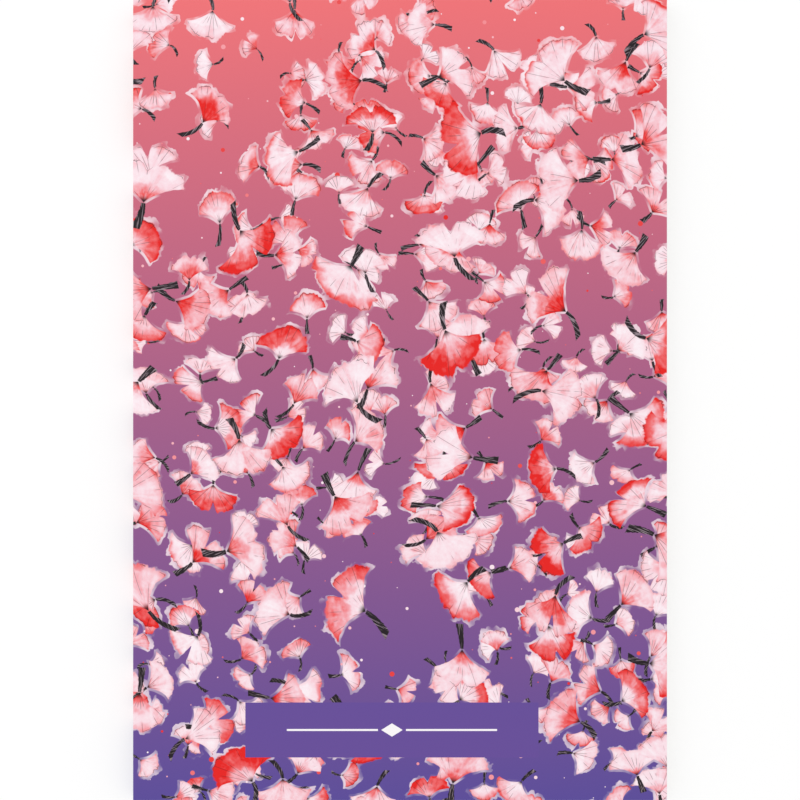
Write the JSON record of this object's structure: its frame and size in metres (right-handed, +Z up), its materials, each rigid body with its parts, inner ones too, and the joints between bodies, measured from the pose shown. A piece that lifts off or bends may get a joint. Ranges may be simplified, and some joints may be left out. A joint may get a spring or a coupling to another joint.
{
  "type": "address book",
  "caption": "Paperback address book with a printed card cover, a glued spine and loose indexed leaves that turn over between covers folding at the spine.",
  "frame": {"origin": "middle of the face of the back cover that the closed book lies on", "axes": "+X from the spine to the fore edge, +Y towards the head of the book, +Z up out of the front cover"},
  "size_m": [0.1524, 0.2286, 0.0068],
  "materials": {
    "cover_card": "printed card under a clear matt film",
    "leaf_paper": "uncoated white book paper, cut edges",
    "spine_glue": "cream hot-melt glue"
  },
  "bodies": {
    "binding": {"spine": "cover_card", "spine_glue": "spine_glue"},
    "front_cover": {"front_cover": "cover_card"},
    "back_cover": {"back_cover": "cover_card"},
    "title_leaf": {"title_leaf": "leaf_paper"},
    "leaf_a1": {"leaf_a1": "leaf_paper"},
    "leaf_a2": {"leaf_a2": "leaf_paper"},
    "leaf_b1": {"leaf_b1": "leaf_paper"},
    "leaf_b2": {"leaf_b2": "leaf_paper"},
    "leaf_c1": {"leaf_c1": "leaf_paper"},
    "leaf_c2": {"leaf_c2": "leaf_paper"},
    "leaf_d1": {"leaf_d1": "leaf_paper"},
    "leaf_d2": {"leaf_d2": "leaf_paper"},
    "leaf_e1": {"leaf_e1": "leaf_paper"},
    "leaf_e2": {"leaf_e2": "leaf_paper"},
    "leaf_f1": {"leaf_f1": "leaf_paper"},
    "leaf_f2": {"leaf_f2": "leaf_paper"},
    "leaf_g1": {"leaf_g1": "leaf_paper"},
    "leaf_g2": {"leaf_g2": "leaf_paper"},
    "leaf_h1": {"leaf_h1": "leaf_paper"},
    "leaf_h2": {"leaf_h2": "leaf_paper"},
    "leaf_i1": {"leaf_i1": "leaf_paper"},
    "leaf_i2": {"leaf_i2": "leaf_paper"},
    "leaf_j1": {"leaf_j1": "leaf_paper"},
    "leaf_j2": {"leaf_j2": "leaf_paper"},
    "leaf_k1": {"leaf_k1": "leaf_paper"},
    "leaf_k2": {"leaf_k2": "leaf_paper"},
    "leaf_l1": {"leaf_l1": "leaf_paper"},
    "leaf_l2": {"leaf_l2": "leaf_paper"},
    "leaf_m1": {"leaf_m1": "leaf_paper"},
    "leaf_m2": {"leaf_m2": "leaf_paper"},
    "leaf_n1": {"leaf_n1": "leaf_paper"},
    "leaf_n2": {"leaf_n2": "leaf_paper"},
    "leaf_o1": {"leaf_o1": "leaf_paper"},
    "leaf_o2": {"leaf_o2": "leaf_paper"},
    "leaf_p1": {"leaf_p1": "leaf_paper"},
    "leaf_p2": {"leaf_p2": "leaf_paper"},
    "leaf_q1": {"leaf_q1": "leaf_paper"},
    "leaf_q2": {"leaf_q2": "leaf_paper"},
    "leaf_r1": {"leaf_r1": "leaf_paper"},
    "leaf_r2": {"leaf_r2": "leaf_paper"},
    "leaf_s1": {"leaf_s1": "leaf_paper"},
    "leaf_s2": {"leaf_s2": "leaf_paper"},
    "leaf_t1": {"leaf_t1": "leaf_paper"},
    "leaf_t2": {"leaf_t2": "leaf_paper"},
    "leaf_u1": {"leaf_u1": "leaf_paper"},
    "leaf_u2": {"leaf_u2": "leaf_paper"},
    "leaf_v1": {"leaf_v1": "leaf_paper"},
    "leaf_v2": {"leaf_v2": "leaf_paper"},
    "leaf_w1": {"leaf_w1": "leaf_paper"},
    "leaf_w2": {"leaf_w2": "leaf_paper"},
    "leaf_x1": {"leaf_x1": "leaf_paper"},
    "leaf_x2": {"leaf_x2": "leaf_paper"},
    "leaf_y1": {"leaf_y1": "leaf_paper"},
    "leaf_y2": {"leaf_y2": "leaf_paper"},
    "leaf_z1": {"leaf_z1": "leaf_paper"},
    "leaf_z2": {"leaf_z2": "leaf_paper"},
    "notes_leaf": {"notes_leaf": "leaf_paper"}
  },
  "joints": [
    {"name": "front_cover_fold", "type": "hinge", "parent": "binding", "child": "front_cover", "pos_m": [-0.07605, 0, 0.00664], "axis": [0, -1, 0], "range_deg": [0, 180]},
    {"name": "back_cover_fold", "type": "hinge", "parent": "binding", "child": "back_cover", "pos_m": [-0.07605, 0, 0.00015], "axis": [0, 1, 0], "range_deg": [0, 180]},
    {"name": "title_leaf_turn", "type": "hinge", "parent": "binding", "child": "title_leaf", "pos_m": [-0.07605, 0, 0.00664], "axis": [0, -1, 0], "range_deg": [0, 179.28]},
    {"name": "leaf_a1_turn", "type": "hinge", "parent": "binding", "child": "leaf_a1", "pos_m": [-0.07605, 0, 0.00664], "axis": [0, -1, 0], "range_deg": [0, 178.62]},
    {"name": "leaf_a2_turn", "type": "hinge", "parent": "binding", "child": "leaf_a2", "pos_m": [-0.07605, 0, 0.00664], "axis": [0, -1, 0], "range_deg": [0, 177.95]},
    {"name": "leaf_b1_turn", "type": "hinge", "parent": "binding", "child": "leaf_b1", "pos_m": [-0.07605, 0, 0.00664], "axis": [0, -1, 0], "range_deg": [0, 177.29]},
    {"name": "leaf_b2_turn", "type": "hinge", "parent": "binding", "child": "leaf_b2", "pos_m": [-0.07605, 0, 0.00664], "axis": [0, -1, 0], "range_deg": [0, 176.62]},
    {"name": "leaf_c1_turn", "type": "hinge", "parent": "binding", "child": "leaf_c1", "pos_m": [-0.07605, 0, 0.00664], "axis": [0, -1, 0], "range_deg": [0, 175.96]},
    {"name": "leaf_c2_turn", "type": "hinge", "parent": "binding", "child": "leaf_c2", "pos_m": [-0.07605, 0, 0.00664], "axis": [0, -1, 0], "range_deg": [0, 175.29]},
    {"name": "leaf_d1_turn", "type": "hinge", "parent": "binding", "child": "leaf_d1", "pos_m": [-0.07605, 0, 0.00664], "axis": [0, -1, 0], "range_deg": [0, 174.63]},
    {"name": "leaf_d2_turn", "type": "hinge", "parent": "binding", "child": "leaf_d2", "pos_m": [-0.07605, 0, 0.00664], "axis": [0, -1, 0], "range_deg": [0, 173.96]},
    {"name": "leaf_e1_turn", "type": "hinge", "parent": "binding", "child": "leaf_e1", "pos_m": [-0.07605, 0, 0.00664], "axis": [0, -1, 0], "range_deg": [0, 173.3]},
    {"name": "leaf_e2_turn", "type": "hinge", "parent": "binding", "child": "leaf_e2", "pos_m": [-0.07605, 0, 0.00664], "axis": [0, -1, 0], "range_deg": [0, 172.64]},
    {"name": "leaf_f1_turn", "type": "hinge", "parent": "binding", "child": "leaf_f1", "pos_m": [-0.07605, 0, 0.00664], "axis": [0, -1, 0], "range_deg": [0, 171.97]},
    {"name": "leaf_f2_turn", "type": "hinge", "parent": "binding", "child": "leaf_f2", "pos_m": [-0.07605, 0, 0.00664], "axis": [0, -1, 0], "range_deg": [0, 171.31]},
    {"name": "leaf_g1_turn", "type": "hinge", "parent": "binding", "child": "leaf_g1", "pos_m": [-0.07605, 0, 0.00664], "axis": [0, -1, 0], "range_deg": [0, 170.64]},
    {"name": "leaf_g2_turn", "type": "hinge", "parent": "binding", "child": "leaf_g2", "pos_m": [-0.07605, 0, 0.00664], "axis": [0, -1, 0], "range_deg": [0, 169.98]},
    {"name": "leaf_h1_turn", "type": "hinge", "parent": "binding", "child": "leaf_h1", "pos_m": [-0.07605, 0, 0.00664], "axis": [0, -1, 0], "range_deg": [0, 169.31]},
    {"name": "leaf_h2_turn", "type": "hinge", "parent": "binding", "child": "leaf_h2", "pos_m": [-0.07605, 0, 0.00664], "axis": [0, -1, 0], "range_deg": [0, 168.65]},
    {"name": "leaf_i1_turn", "type": "hinge", "parent": "binding", "child": "leaf_i1", "pos_m": [-0.07605, 0, 0.00664], "axis": [0, -1, 0], "range_deg": [0, 167.98]},
    {"name": "leaf_i2_turn", "type": "hinge", "parent": "binding", "child": "leaf_i2", "pos_m": [-0.07605, 0, 0.00664], "axis": [0, -1, 0], "range_deg": [0, 167.32]},
    {"name": "leaf_j1_turn", "type": "hinge", "parent": "binding", "child": "leaf_j1", "pos_m": [-0.07605, 0, 0.00664], "axis": [0, -1, 0], "range_deg": [0, 166.65]},
    {"name": "leaf_j2_turn", "type": "hinge", "parent": "binding", "child": "leaf_j2", "pos_m": [-0.07605, 0, 0.00664], "axis": [0, -1, 0], "range_deg": [0, 165.99]},
    {"name": "leaf_k1_turn", "type": "hinge", "parent": "binding", "child": "leaf_k1", "pos_m": [-0.07605, 0, 0.00664], "axis": [0, -1, 0], "range_deg": [0, 165.32]},
    {"name": "leaf_k2_turn", "type": "hinge", "parent": "binding", "child": "leaf_k2", "pos_m": [-0.07605, 0, 0.00664], "axis": [0, -1, 0], "range_deg": [0, 164.66]},
    {"name": "leaf_l1_turn", "type": "hinge", "parent": "binding", "child": "leaf_l1", "pos_m": [-0.07605, 0, 0.00664], "axis": [0, -1, 0], "range_deg": [0, 164]},
    {"name": "leaf_l2_turn", "type": "hinge", "parent": "binding", "child": "leaf_l2", "pos_m": [-0.07605, 0, 0.00664], "axis": [0, -1, 0], "range_deg": [0, 163.33]},
    {"name": "leaf_m1_turn", "type": "hinge", "parent": "binding", "child": "leaf_m1", "pos_m": [-0.07605, 0, 0.00664], "axis": [0, -1, 0], "range_deg": [0, 162.67]},
    {"name": "leaf_m2_turn", "type": "hinge", "parent": "binding", "child": "leaf_m2", "pos_m": [-0.07605, 0, 0.00664], "axis": [0, -1, 0], "range_deg": [0, 162]},
    {"name": "leaf_n1_turn", "type": "hinge", "parent": "binding", "child": "leaf_n1", "pos_m": [-0.07605, 0, 0.00664], "axis": [0, -1, 0], "range_deg": [0, 18]},
    {"name": "leaf_n2_turn", "type": "hinge", "parent": "binding", "child": "leaf_n2", "pos_m": [-0.07605, 0, 0.00664], "axis": [0, -1, 0], "range_deg": [0, 17.34]},
    {"name": "leaf_o1_turn", "type": "hinge", "parent": "binding", "child": "leaf_o1", "pos_m": [-0.07605, 0, 0.00664], "axis": [0, -1, 0], "range_deg": [0, 16.67]},
    {"name": "leaf_o2_turn", "type": "hinge", "parent": "binding", "child": "leaf_o2", "pos_m": [-0.07605, 0, 0.00664], "axis": [0, -1, 0], "range_deg": [0, 16.01]},
    {"name": "leaf_p1_turn", "type": "hinge", "parent": "binding", "child": "leaf_p1", "pos_m": [-0.07605, 0, 0.00664], "axis": [0, -1, 0], "range_deg": [0, 15.34]},
    {"name": "leaf_p2_turn", "type": "hinge", "parent": "binding", "child": "leaf_p2", "pos_m": [-0.07605, 0, 0.00664], "axis": [0, -1, 0], "range_deg": [0, 14.68]},
    {"name": "leaf_q1_turn", "type": "hinge", "parent": "binding", "child": "leaf_q1", "pos_m": [-0.07605, 0, 0.00664], "axis": [0, -1, 0], "range_deg": [0, 14.01]},
    {"name": "leaf_q2_turn", "type": "hinge", "parent": "binding", "child": "leaf_q2", "pos_m": [-0.07605, 0, 0.00664], "axis": [0, -1, 0], "range_deg": [0, 13.35]},
    {"name": "leaf_r1_turn", "type": "hinge", "parent": "binding", "child": "leaf_r1", "pos_m": [-0.07605, 0, 0.00664], "axis": [0, -1, 0], "range_deg": [0, 12.68]},
    {"name": "leaf_r2_turn", "type": "hinge", "parent": "binding", "child": "leaf_r2", "pos_m": [-0.07605, 0, 0.00664], "axis": [0, -1, 0], "range_deg": [0, 12.02]},
    {"name": "leaf_s1_turn", "type": "hinge", "parent": "binding", "child": "leaf_s1", "pos_m": [-0.07605, 0, 0.00664], "axis": [0, -1, 0], "range_deg": [0, 11.36]},
    {"name": "leaf_s2_turn", "type": "hinge", "parent": "binding", "child": "leaf_s2", "pos_m": [-0.07605, 0, 0.00664], "axis": [0, -1, 0], "range_deg": [0, 10.69]},
    {"name": "leaf_t1_turn", "type": "hinge", "parent": "binding", "child": "leaf_t1", "pos_m": [-0.07605, 0, 0.00664], "axis": [0, -1, 0], "range_deg": [0, 10.03]},
    {"name": "leaf_t2_turn", "type": "hinge", "parent": "binding", "child": "leaf_t2", "pos_m": [-0.07605, 0, 0.00664], "axis": [0, -1, 0], "range_deg": [0, 9.36]},
    {"name": "leaf_u1_turn", "type": "hinge", "parent": "binding", "child": "leaf_u1", "pos_m": [-0.07605, 0, 0.00664], "axis": [0, -1, 0], "range_deg": [0, 8.7]},
    {"name": "leaf_u2_turn", "type": "hinge", "parent": "binding", "child": "leaf_u2", "pos_m": [-0.07605, 0, 0.00664], "axis": [0, -1, 0], "range_deg": [0, 8.03]},
    {"name": "leaf_v1_turn", "type": "hinge", "parent": "binding", "child": "leaf_v1", "pos_m": [-0.07605, 0, 0.00664], "axis": [0, -1, 0], "range_deg": [0, 7.37]},
    {"name": "leaf_v2_turn", "type": "hinge", "parent": "binding", "child": "leaf_v2", "pos_m": [-0.07605, 0, 0.00664], "axis": [0, -1, 0], "range_deg": [0, 6.7]},
    {"name": "leaf_w1_turn", "type": "hinge", "parent": "binding", "child": "leaf_w1", "pos_m": [-0.07605, 0, 0.00664], "axis": [0, -1, 0], "range_deg": [0, 6.04]},
    {"name": "leaf_w2_turn", "type": "hinge", "parent": "binding", "child": "leaf_w2", "pos_m": [-0.07605, 0, 0.00664], "axis": [0, -1, 0], "range_deg": [0, 5.37]},
    {"name": "leaf_x1_turn", "type": "hinge", "parent": "binding", "child": "leaf_x1", "pos_m": [-0.07605, 0, 0.00664], "axis": [0, -1, 0], "range_deg": [0, 4.71]},
    {"name": "leaf_x2_turn", "type": "hinge", "parent": "binding", "child": "leaf_x2", "pos_m": [-0.07605, 0, 0.00664], "axis": [0, -1, 0], "range_deg": [0, 4.04]},
    {"name": "leaf_y1_turn", "type": "hinge", "parent": "binding", "child": "leaf_y1", "pos_m": [-0.07605, 0, 0.00664], "axis": [0, -1, 0], "range_deg": [0, 3.38]},
    {"name": "leaf_y2_turn", "type": "hinge", "parent": "binding", "child": "leaf_y2", "pos_m": [-0.07605, 0, 0.00664], "axis": [0, -1, 0], "range_deg": [0, 2.72]},
    {"name": "leaf_z1_turn", "type": "hinge", "parent": "binding", "child": "leaf_z1", "pos_m": [-0.07605, 0, 0.00664], "axis": [0, -1, 0], "range_deg": [0, 2.05]},
    {"name": "leaf_z2_turn", "type": "hinge", "parent": "binding", "child": "leaf_z2", "pos_m": [-0.07605, 0, 0.00664], "axis": [0, -1, 0], "range_deg": [0, 1.39]},
    {"name": "notes_leaf_turn", "type": "hinge", "parent": "binding", "child": "notes_leaf", "pos_m": [-0.07605, 0, 0.00664], "axis": [0, -1, 0], "range_deg": [0, 0.721]}
  ],
  "couplings": [
    {"joint": "title_leaf_turn", "follows": "front_cover_fold", "ratio": 0.996},
    {"joint": "leaf_a1_turn", "follows": "front_cover_fold", "ratio": 0.99231},
    {"joint": "leaf_a2_turn", "follows": "front_cover_fold", "ratio": 0.98862},
    {"joint": "leaf_b1_turn", "follows": "front_cover_fold", "ratio": 0.98492},
    {"joint": "leaf_b2_turn", "follows": "front_cover_fold", "ratio": 0.98123},
    {"joint": "leaf_c1_turn", "follows": "front_cover_fold", "ratio": 0.97754},
    {"joint": "leaf_c2_turn", "follows": "front_cover_fold", "ratio": 0.97385},
    {"joint": "leaf_d1_turn", "follows": "front_cover_fold", "ratio": 0.97015},
    {"joint": "leaf_d2_turn", "follows": "front_cover_fold", "ratio": 0.96646},
    {"joint": "leaf_e1_turn", "follows": "front_cover_fold", "ratio": 0.96277},
    {"joint": "leaf_e2_turn", "follows": "front_cover_fold", "ratio": 0.95908},
    {"joint": "leaf_f1_turn", "follows": "front_cover_fold", "ratio": 0.95538},
    {"joint": "leaf_f2_turn", "follows": "front_cover_fold", "ratio": 0.95169},
    {"joint": "leaf_g1_turn", "follows": "front_cover_fold", "ratio": 0.948},
    {"joint": "leaf_g2_turn", "follows": "front_cover_fold", "ratio": 0.94431},
    {"joint": "leaf_h1_turn", "follows": "front_cover_fold", "ratio": 0.94062},
    {"joint": "leaf_h2_turn", "follows": "front_cover_fold", "ratio": 0.93692},
    {"joint": "leaf_i1_turn", "follows": "front_cover_fold", "ratio": 0.93323},
    {"joint": "leaf_i2_turn", "follows": "front_cover_fold", "ratio": 0.92954},
    {"joint": "leaf_j1_turn", "follows": "front_cover_fold", "ratio": 0.92585},
    {"joint": "leaf_j2_turn", "follows": "front_cover_fold", "ratio": 0.92215},
    {"joint": "leaf_k1_turn", "follows": "front_cover_fold", "ratio": 0.91846},
    {"joint": "leaf_k2_turn", "follows": "front_cover_fold", "ratio": 0.91477},
    {"joint": "leaf_l1_turn", "follows": "front_cover_fold", "ratio": 0.91108},
    {"joint": "leaf_l2_turn", "follows": "front_cover_fold", "ratio": 0.90738},
    {"joint": "leaf_m1_turn", "follows": "front_cover_fold", "ratio": 0.90369},
    {"joint": "leaf_m2_turn", "follows": "front_cover_fold", "ratio": 0.9},
    {"joint": "leaf_n1_turn", "follows": "front_cover_fold", "ratio": 0.1},
    {"joint": "leaf_n2_turn", "follows": "front_cover_fold", "ratio": 0.09631},
    {"joint": "leaf_o1_turn", "follows": "front_cover_fold", "ratio": 0.09262},
    {"joint": "leaf_o2_turn", "follows": "front_cover_fold", "ratio": 0.08892},
    {"joint": "leaf_p1_turn", "follows": "front_cover_fold", "ratio": 0.08523},
    {"joint": "leaf_p2_turn", "follows": "front_cover_fold", "ratio": 0.08154},
    {"joint": "leaf_q1_turn", "follows": "front_cover_fold", "ratio": 0.07785},
    {"joint": "leaf_q2_turn", "follows": "front_cover_fold", "ratio": 0.07415},
    {"joint": "leaf_r1_turn", "follows": "front_cover_fold", "ratio": 0.07046},
    {"joint": "leaf_r2_turn", "follows": "front_cover_fold", "ratio": 0.06677},
    {"joint": "leaf_s1_turn", "follows": "front_cover_fold", "ratio": 0.06308},
    {"joint": "leaf_s2_turn", "follows": "front_cover_fold", "ratio": 0.05938},
    {"joint": "leaf_t1_turn", "follows": "front_cover_fold", "ratio": 0.05569},
    {"joint": "leaf_t2_turn", "follows": "front_cover_fold", "ratio": 0.052},
    {"joint": "leaf_u1_turn", "follows": "front_cover_fold", "ratio": 0.04831},
    {"joint": "leaf_u2_turn", "follows": "front_cover_fold", "ratio": 0.04462},
    {"joint": "leaf_v1_turn", "follows": "front_cover_fold", "ratio": 0.04092},
    {"joint": "leaf_v2_turn", "follows": "front_cover_fold", "ratio": 0.03723},
    {"joint": "leaf_w1_turn", "follows": "front_cover_fold", "ratio": 0.03354},
    {"joint": "leaf_w2_turn", "follows": "front_cover_fold", "ratio": 0.02985},
    {"joint": "leaf_x1_turn", "follows": "front_cover_fold", "ratio": 0.02615},
    {"joint": "leaf_x2_turn", "follows": "front_cover_fold", "ratio": 0.02246},
    {"joint": "leaf_y1_turn", "follows": "front_cover_fold", "ratio": 0.01877},
    {"joint": "leaf_y2_turn", "follows": "front_cover_fold", "ratio": 0.01508},
    {"joint": "leaf_z1_turn", "follows": "front_cover_fold", "ratio": 0.01138},
    {"joint": "leaf_z2_turn", "follows": "front_cover_fold", "ratio": 0.00769},
    {"joint": "notes_leaf_turn", "follows": "front_cover_fold", "ratio": 0.004}
  ]
}
